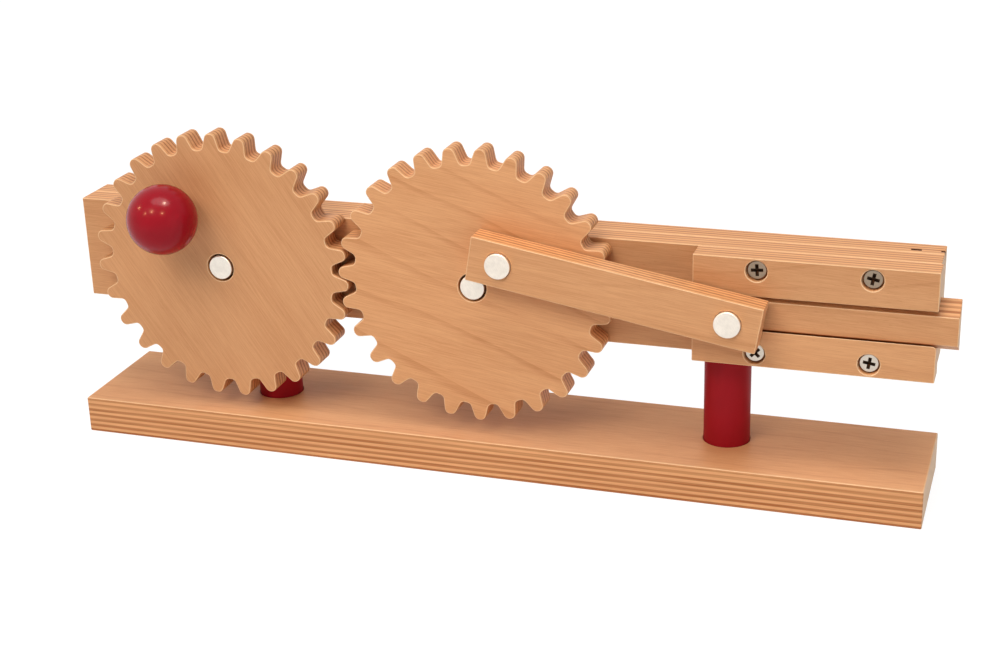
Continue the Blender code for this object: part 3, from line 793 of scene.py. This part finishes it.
class MODEL_OT_gears(bpy.types.Operator):
    """Drive gear and crank gear with softened tooth edges"""
    bl_idname = "motion_model.gears"
    bl_label = "Gears"

    def execute(self, context):
        looks = {
            "drive_gear": {
                "contrast": 0.9, "face_shade": 0.92, "edge_shade": 0.92,
                "grain": math.radians(-56), "ring_turn": math.radians(-54),
                "bands": 0.35, "ring_gap": 17.0, "rings": 0.08, "seed": 7.0},
            "crank_gear": {
                "contrast": 0.8, "face_shade": 1.03, "edge_shade": 0.98,
                "grain": math.radians(-9), "ring_turn": math.radians(-24),
                "bands": 0.6, "ring_gap": 19.0, "rings": 0.36, "seed": 9.0},
        }
        for node, look in looks.items():
            low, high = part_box(node)
            only(frame["nodes"][node])
            bpy.ops.object.duplicate()
            gear = bpy.context.object
            gear.name = node + "_dressed"
            gear.parent = None
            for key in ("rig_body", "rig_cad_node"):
                del gear[key]
            bpy.ops.object.mode_set(mode="EDIT")
            bpy.ops.mesh.select_all(action="SELECT")
            bpy.ops.mesh.remove_doubles(threshold=SAME_PLACE)
            bpy.ops.mesh.dissolve_limited(angle_limit=math.radians(1))
            bpy.ops.object.mode_set(mode="OBJECT")
            soften(gear, sizes().gear_edge, segments=2, clamp=False)
            wood = plywood(
                "beech plywood, " + node.replace("_", " "), face=low.y, thickness=high.y - low.y,
                dark_share=0.36, pale_ends=0.0, **look)
            dress(gear, node, wood)
        return {"FINISHED"}


class MODEL_OT_pins(bpy.types.Operator):
    """Axles and pins of sawn aluminium rod"""
    bl_idname = "motion_model.pins"
    bl_label = "Axles and pins"

    def execute(self, context):
        bright = metal("aluminium rod", colours().pin_metal, roughness=0.42, mark_width=0.3)
        for node in ("drive_axle", "crank_axle", "crank_pin", "wrist_pin"):
            low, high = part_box(node)
            centre = (low + high) / 2
            pin = add_round(node + "_dressed", centre, (high.x - low.x) / 2, high.y - low.y)
            soften(pin, sizes().turned_edge)
            dress(pin, node, bright)
        return {"FINISHED"}


class MODEL_OT_rod(bpy.types.Operator):
    """Connecting rod, bored for its two pins"""
    bl_idname = "motion_model.rod"
    bl_label = "Connecting rod"

    pin_fit: bpy.props.FloatProperty(
        name="Pin fit", description="Dark ring left round each pin", default=0.2 * MM, unit="LENGTH")

    def execute(self, context):
        low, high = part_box("connecting_rod")
        crank = centre_of("crank_pin")
        wrist = centre_of("wrist_pin")
        span = Vector((wrist.x - crank.x, 0, wrist.z - crank.z))
        slant = math.atan2(span.z, span.x)
        half = span.length / 2 + sizes().rod_end
        width = sizes().rod_width / 2
        rod = add_block("connecting_rod_dressed", (-half, low.y, -width), (half, high.y, width))
        turn_about_y(rod, slant, ((crank.x + wrist.x) / 2, 0, (crank.z + wrist.z) / 2))
        soften(rod, sizes().board_edge)
        pin_low, pin_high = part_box("crank_pin")
        radius = (pin_high.x - pin_low.x) / 2 + self.pin_fit
        for pin in (crank, wrist):
            pin.y = (low.y + high.y) / 2
            drill(rod, add_round("pin_hole", pin, radius, 2 * (high.y - low.y)))
        even_shading(rod)
        wood = plywood(
            "beech plywood, connecting rod", face=low.y, thickness=high.y - low.y,
            dark_share=0.38, contrast=1.0, grain=slant + math.radians(2),
            ring_turn=slant + math.radians(4), ring_gap=15.0, rings=0.2, pale_ends=0.2,
            face_shade=0.96, edge_shade=1.08, seed=11.0)
        dress(rod, "connecting_rod", wood)
        return {"FINISHED"}


class MODEL_OT_slider(bpy.types.Operator):
    """Dovetail slider bar"""
    bl_idname = "motion_model.slider"
    bl_label = "Slider"

    slack: bpy.props.FloatProperty(
        name="Slack", description="Dark slot left under the upper rail", default=0.9 * MM,
        unit="LENGTH")
    set_back: bpy.props.FloatProperty(
        name="Set back", description="The bar's face behind the rails' faces", default=1.3 * MM,
        unit="LENGTH")

    def execute(self, context):
        low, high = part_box("slider_bar")
        bar = add_block("slider_dressed", low, high)
        middle = (low + high) / 2
        draw_in = math.tan(sizes().dovetail) * (high.y - low.y)
        move_points(bar, lambda co: co.z > middle.z, (0, 0, -self.slack))
        move_points(bar, lambda co: co.y < middle.y and co.z > middle.z, (0, 0, -draw_in))
        move_points(bar, lambda co: co.y < middle.y and co.z < middle.z, (0, 0, draw_in))
        move_points(bar, lambda co: co.y < middle.y, (0, self.set_back, 0))
        soften(bar, sizes().slider_edge)
        wood = plywood(
            "beech plywood, slider", face=low.y, thickness=high.y - low.y, dark_share=0.5,
            contrast=0.9, grain=math.radians(-3), ring_turn=math.radians(-4), ring_gap=11.0,
            face_shade=0.95, seed=13.0)
        dress(bar, "slider_bar", wood)
        return {"FINISHED"}


class MODEL_OT_knob(bpy.types.Operator):
    """Ball knob on its stem"""
    bl_idname = "motion_model.knob"
    bl_label = "Ball knob"

    flat: bpy.props.FloatProperty(
        name="Flat", description="Depth of the flat where the stem enters", default=0.6 * MM,
        unit="LENGTH")

    def execute(self, context):
        low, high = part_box("knob_ball")
        radius = (high.x - low.x) / 2
        centre = (low + high) / 2
        centre.y = low.y + radius
        deselect_all()
        bpy.ops.mesh.primitive_uv_sphere_add(
            segments=ROUND_SIDES, ring_count=ROUND_SIDES // 2, radius=radius, location=centre,
            rotation=(math.pi / 2, 0, 0))
        ball = bpy.context.object
        ball.name = "knob_ball_dressed"
        bpy.ops.object.transform_apply()
        bpy.ops.object.mode_set(mode="EDIT")
        bpy.ops.mesh.select_all(action="SELECT")
        bpy.ops.mesh.bisect(
            plane_co=(centre.x, centre.y + radius - self.flat, centre.z), plane_no=(0, 1, 0),
            use_fill=True, clear_outer=True)
        bpy.ops.object.mode_set(mode="OBJECT")
        bpy.ops.object.shade_smooth_by_angle(angle=SHARP_TURN)
        gloss = paint(
            "bright red gloss enamel", colours().knob_paint, roughness=0.22, shine=0.12, coat=0.08)
        dress(ball, "knob_ball", gloss)
        stem_low, stem_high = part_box("knob_stem")
        stem = add_round(
            "knob_stem_dressed", (stem_low + stem_high) / 2, (stem_high.x - stem_low.x) / 2,
            stem_high.y - stem_low.y, vertices=ROUND_SIDES // 2)
        soften(stem, sizes().board_edge)
        dress(stem, "knob_stem", gloss)
        return {"FINISHED"}


class MODEL_OT_stage(bpy.types.Operator):
    """Pale floor, soft lamps and the camera"""
    bl_idname = "motion_model.stage"
    bl_label = "Stage"

    # The photograph's viewpoint, from a camera fitted to points on the object
    camera_azimuth: bpy.props.FloatProperty(
        name="Azimuth", description="How far the camera stands to the right",
        default=math.radians(18.681), subtype="ANGLE")
    camera_elevation: bpy.props.FloatProperty(
        name="Elevation", description="How far the camera looks down",
        default=math.radians(21.460), subtype="ANGLE")
    camera_roll: bpy.props.FloatProperty(
        name="Roll", description="How far the camera leans",
        default=math.radians(-1.664), subtype="ANGLE")
    camera_distance: bpy.props.FloatProperty(
        name="Distance", description="From the camera to its target", default=0.8466, unit="LENGTH")
    camera_target: bpy.props.FloatVectorProperty(
        name="Target", description="Point that the camera looks at",
        default=(0.00388, 0.0, 0.06103), subtype="TRANSLATION")
    focal_pixels: bpy.props.FloatProperty(
        name="Focal length", description="In pixels of the photograph", default=1794.7)
    centre_pixels: bpy.props.FloatVectorProperty(
        name="Centre", description="Optical centre, in pixels from the photograph's upper left corner",
        size=2, default=(501.64, 331.88))

    floor_lift: bpy.props.FloatProperty(
        name="Floor lift", description="Brightness that the camera sees in the floor", default=1.14)
    lift_share: bpy.props.FloatProperty(
        name="Lift share", description="Share of that brightness over the lit floor", default=0.8)
    world_light: bpy.props.FloatProperty(
        name="World light", description="Strength of the light from all round", default=0.16)

    def execute(self, context):
        self.add_camera(context)
        self.add_floor()
        self.add_lamps(context)
        self.add_world(context)
        context.scene.view_settings.view_transform = "Standard"
        return {"FINISHED"}

    def add_camera(self, context):
        """Place the camera and shift its frame to the photograph's."""
        azimuth, elevation = self.camera_azimuth, self.camera_elevation
        back = Vector((
            math.sin(azimuth) * math.cos(elevation),
            -math.cos(azimuth) * math.cos(elevation),
            math.sin(elevation)))
        level = Vector((0, 0, 1)).cross(back).normalized()
        upright = back.cross(level)
        roll = self.camera_roll
        right = level * math.cos(roll) + upright * math.sin(roll)
        up = upright * math.cos(roll) - level * math.sin(roll)
        data = bpy.data.cameras.new("camera")
        data.sensor_width = SENSOR_WIDTH
        data.lens = self.focal_pixels / IMAGE_WIDTH * SENSOR_WIDTH
        data.shift_x = (IMAGE_WIDTH / 2 - self.centre_pixels[0]) / IMAGE_WIDTH
        data.shift_y = (self.centre_pixels[1] - IMAGE_HEIGHT / 2) / IMAGE_WIDTH
        camera = bpy.data.objects.new("camera", data)
        turn = Matrix((right, up, back)).transposed()
        place = Vector(self.camera_target) + back * self.camera_distance
        camera.matrix_world = Matrix.Translation(place) @ turn.to_4x4()
        context.scene.collection.objects.link(camera)
        context.scene.camera = camera

    def seen_directly(self, tree):
        """One for the rays by which the camera sees a surface, straight or in a reflection."""
        path = add_node(tree, "ShaderNodeLightPath")
        seen = add_node(tree, "ShaderNodeMath", {"operation": "MAXIMUM"}, {
            0: path.outputs["Is Camera Ray"], 1: path.outputs["Is Glossy Ray"]})
        return add_node(tree, "ShaderNodeMath", {"operation": "MAXIMUM"}, {
            0: seen.outputs[0], 1: path.outputs["Is Transmission Ray"]}).outputs[0]

    def add_floor(self):
        """A floor that the camera sees almost white, with the shadows left on it."""
        deselect_all()
        bpy.ops.mesh.primitive_plane_add(size=30)
        floor = bpy.context.object
        floor.name = "floor"
        material, tree = new_material("pale studio floor")
        diffuse = add_node(tree, "ShaderNodeBsdfDiffuse", inputs={"Color": linear(colours().floor)})
        lift = add_node(tree, "ShaderNodeEmission", inputs={
            "Color": (1, 1, 1, 1), "Strength": self.floor_lift})
        share = add_node(tree, "ShaderNodeMath", {"operation": "MULTIPLY"}, {
            0: self.seen_directly(tree), 1: self.lift_share})
        mixed = add_node(tree, "ShaderNodeMixShader", inputs={
            0: share.outputs[0], 1: diffuse.outputs[0], 2: lift.outputs[0]})
        add_node(tree, "ShaderNodeOutputMaterial", inputs={"Surface": mixed.outputs[0]})
        floor.data.materials.append(material)

    def add_lamps(self, context):
        """An overhead softbox, three broad fills, and small ceiling lights that show only in gloss."""
        # Name, place, size, power, colour, whether it lights matt surfaces, whether gloss shows it
        lamps = (
            ("overhead", (0.07, -0.31, 1.60), (1.50, 0.80), 14.5, "FFFFFF", True, True),
            ("front", (-0.50, -1.60, 1.65), (1.80, 1.00), 28.0, "FFFFFF", True, False),
            ("right", (1.60, -0.90, 0.50), (1.00, 1.00), 4.5, "FFFFFF", True, False),
            ("back", (-0.40, 2.10, 0.75), (1.40, 1.00), 12.0, "FFFFFF", True, False),
            ("spark_far_left", (-1.43, -0.51, 0.95), (0.11, 0.11), 4.0, "FFC890", False, True),
            ("spark_left", (-0.93, -1.20, 0.91), (0.13, 0.13), 4.0, "FFC890", False, True),
            ("spark_middle", (-0.38, -1.22, 1.18), (0.13, 0.13), 8.0, "FFC890", False, True),
            ("spark_right", (0.52, -1.11, 1.11), (0.15, 0.15), 6.0, "FFC890", False, True),
            ("spark_above", (0.36, -0.32, 1.59), (0.18, 0.18), 14.0, "FFE4C8", False, True),
        )
        model = Vector((0, 0, 0.08))
        for name, place, size, power, colour, lights, gleams in lamps:
            data = bpy.data.lights.new(name, "AREA")
            data.shape = "ELLIPSE"
            data.size, data.size_y = size
            data.energy = power
            data.color = linear(colour)[:3]
            lamp = bpy.data.objects.new(name, data)
            lamp.location = place
            lamp.visible_diffuse = lights
            lamp.visible_glossy = gleams
            aim = model - Vector(place)
            lamp.rotation_euler = aim.to_track_quat("-Z", "Y").to_euler()
            context.scene.collection.objects.link(lamp)

    def add_world(self, context):
        """A white surround that lights the model faintly."""
        world = bpy.data.worlds.new("studio")
        world.use_nodes = True
        tree = world.node_tree
        tree.nodes.clear()
        strength = add_node(tree, "ShaderNodeMapRange", inputs={
            "Value": self.seen_directly(tree), "To Min": self.world_light, "To Max": 1.0})
        background = add_node(tree, "ShaderNodeBackground", inputs={
            "Color": (1, 1, 1, 1), "Strength": strength.outputs[0]})
        add_node(tree, "ShaderNodeOutputWorld", inputs={"Surface": background.outputs[0]})
        context.scene.world = world


STEPS = (
    MODEL_OT_base, MODEL_OT_posts, MODEL_OT_beam, MODEL_OT_rails, MODEL_OT_screws,
    MODEL_OT_gears, MODEL_OT_pins, MODEL_OT_rod, MODEL_OT_slider, MODEL_OT_knob, MODEL_OT_stage,
)


class MODEL_PT_panel(bpy.types.Panel):
    """Buttons for each piece, with the sizes and colours"""
    bl_idname = "MODEL_PT_panel"
    bl_label = "Motion model"
    bl_space_type = "VIEW_3D"
    bl_region_type = "UI"
    bl_category = "Motion model"

    def draw(self, context):
        for step in STEPS:
            self.layout.operator(step.bl_idname)
        for settings in (sizes(), colours()):
            for name in settings.__annotations__:
                self.layout.prop(settings, name)


CLASSES = (SizeSettings, ColourSettings) + STEPS + (MODEL_PT_panel,)


def register():
    for item in CLASSES:
        bpy.utils.register_class(item)
    bpy.types.Scene.motion_model_sizes = bpy.props.PointerProperty(type=SizeSettings)
    bpy.types.Scene.motion_model_colours = bpy.props.PointerProperty(type=ColourSettings)


def unregister():
    del bpy.types.Scene.motion_model_colours
    del bpy.types.Scene.motion_model_sizes
    for item in reversed(CLASSES):
        bpy.utils.unregister_class(item)


def main():
    register()
    bpy.ops.motion_model.base()
    bpy.ops.motion_model.posts()
    bpy.ops.motion_model.beam()
    bpy.ops.motion_model.rails()
    bpy.ops.motion_model.screws()
    bpy.ops.motion_model.gears()
    bpy.ops.motion_model.pins()
    bpy.ops.motion_model.rod()
    bpy.ops.motion_model.slider()
    bpy.ops.motion_model.knob()
    bpy.ops.motion_model.stage()


if __name__ == "__main__":
    main()
